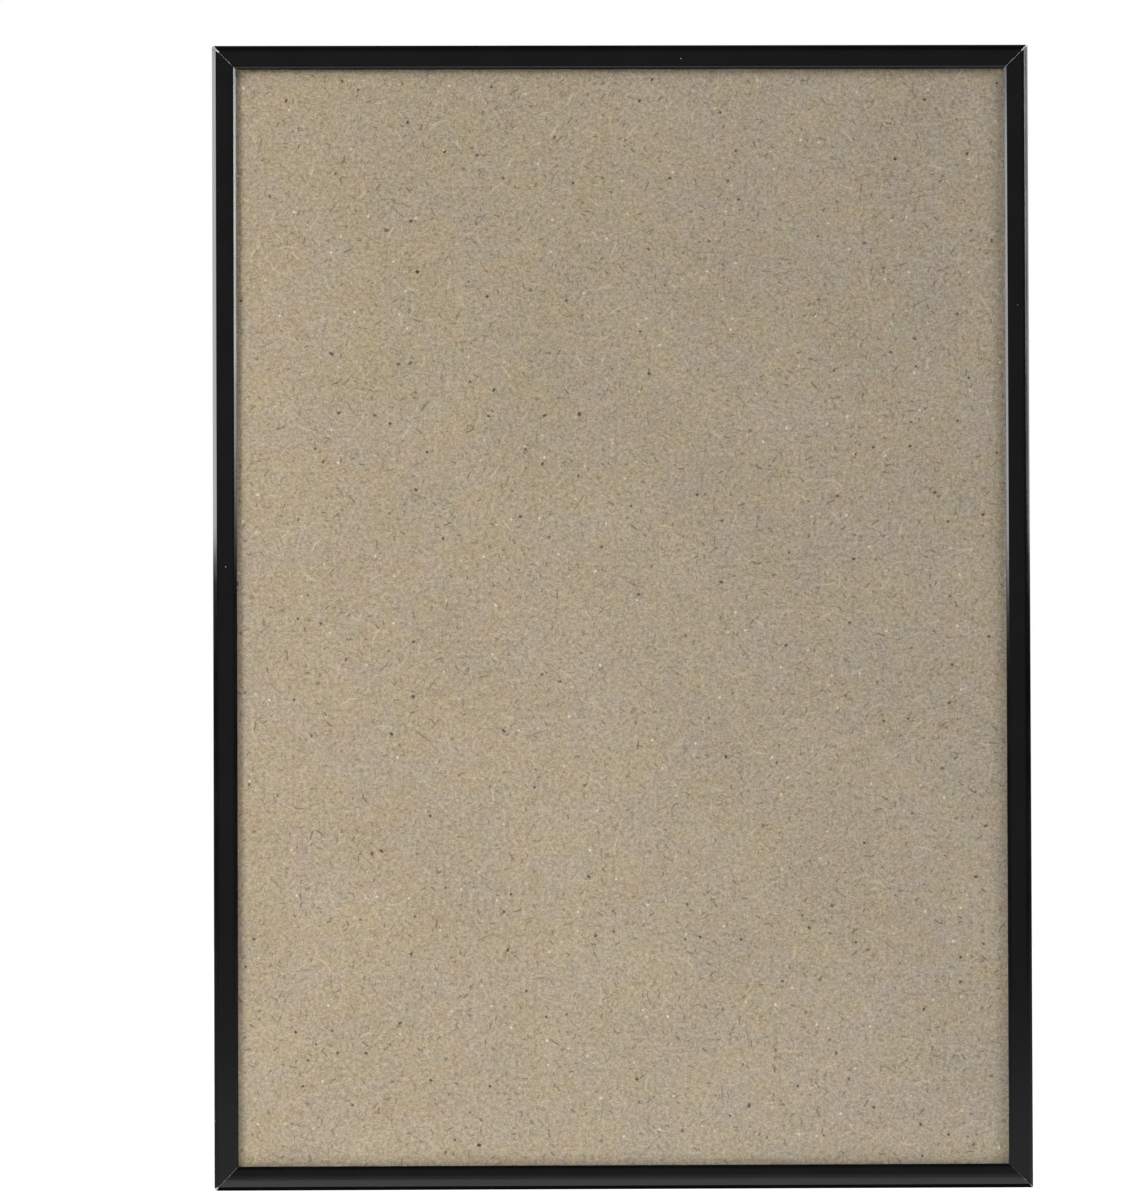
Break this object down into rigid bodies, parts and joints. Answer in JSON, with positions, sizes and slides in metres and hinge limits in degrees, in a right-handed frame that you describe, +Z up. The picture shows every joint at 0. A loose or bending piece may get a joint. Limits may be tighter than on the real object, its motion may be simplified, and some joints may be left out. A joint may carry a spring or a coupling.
{
  "type": "picture frame",
  "caption": "Upright A4 picture frame of narrow black mitred aluminium rails, with clear glass, a plain hardboard back, clamped corner angles, bowed spring clips and sliding toothed hangers.",
  "frame": {"origin": "the point where a nail carries the middle notch of the top hanger, on the wall plane: in the middle of the width, 4.6 mm below the top edge, at the rear face of the rails", "axes": "+X to the right and +Z up, seen from the front; +Y back into the wall, so the glass faces -Y"},
  "size_m": [0.2176, 0.0172, 0.3046],
  "materials": {
    "black_rail": "satin black coating, bare metal at the sawn mitres",
    "clear_glass": "clear float glass with ground edges",
    "hardboard": "bare hardboard, smooth front with fine fibres and specks, screen-marked back",
    "zinc_plate": "bright zinc-plated pressed steel",
    "screw_steel": "zinc-plated turned steel",
    "spring_steel": "tempered spring steel, blue-grey"
  },
  "bodies": {
    "frame": {"top_rail": "black_rail", "left_rail": "black_rail", "right_rail": "black_rail", "glass_sheet": "clear_glass", "backing_board": "hardboard", "corner_angle_top_left": "zinc_plate", "backing_angle_top_left": "zinc_plate", "set_screws_top_left": "screw_steel", "corner_angle_top_right": "zinc_plate", "backing_angle_top_right": "zinc_plate", "set_screws_top_right": "screw_steel"},
    "loading_rail": {"bottom_rail": "black_rail", "corner_angle_bottom_left": "zinc_plate", "backing_angle_bottom_left": "zinc_plate", "set_screws_bottom_left": "screw_steel", "corner_angle_bottom_right": "zinc_plate", "backing_angle_bottom_right": "zinc_plate", "set_screws_bottom_right": "screw_steel"},
    "clip_top": {"spring_clip_top": "spring_steel"},
    "clip_bottom": {"spring_clip_bottom": "spring_steel"},
    "clip_left_upper": {"spring_clip_left_upper": "spring_steel"},
    "clip_left_lower": {"spring_clip_left_lower": "spring_steel"},
    "clip_right_upper": {"spring_clip_right_upper": "spring_steel"},
    "clip_right_lower": {"spring_clip_right_lower": "spring_steel"},
    "hanger_top": {"hanger_top": "zinc_plate"},
    "hanger_side": {"hanger_side": "zinc_plate"}
  },
  "joints": [
    {"name": "loading_rail_slide", "type": "slide", "parent": "frame", "child": "loading_rail", "axis": [0, 0, -1], "range_m": [0, 0.04]},
    {"name": "clip_top_slide", "type": "slide", "parent": "frame", "child": "clip_top", "axis": [0, 0, -1], "range_m": [0, 0.012]},
    {"name": "clip_bottom_slide", "type": "slide", "parent": "loading_rail", "child": "clip_bottom", "axis": [0, 0, 1], "range_m": [0, 0.012]},
    {"name": "clip_left_upper_slide", "type": "slide", "parent": "frame", "child": "clip_left_upper", "axis": [1, 0, 0], "range_m": [0, 0.012]},
    {"name": "clip_left_lower_slide", "type": "slide", "parent": "frame", "child": "clip_left_lower", "axis": [1, 0, 0], "range_m": [0, 0.012]},
    {"name": "clip_right_upper_slide", "type": "slide", "parent": "frame", "child": "clip_right_upper", "axis": [-1, 0, 0], "range_m": [0, 0.012]},
    {"name": "clip_right_lower_slide", "type": "slide", "parent": "frame", "child": "clip_right_lower", "axis": [-1, 0, 0], "range_m": [0, 0.012]},
    {"name": "hanger_top_slide", "type": "slide", "parent": "frame", "child": "hanger_top", "axis": [1, 0, 0], "range_m": [-0.052, 0.052]},
    {"name": "hanger_side_slide", "type": "slide", "parent": "frame", "child": "hanger_side", "axis": [0, 0, 1], "range_m": [-0.0955, 0.0955]}
  ]
}
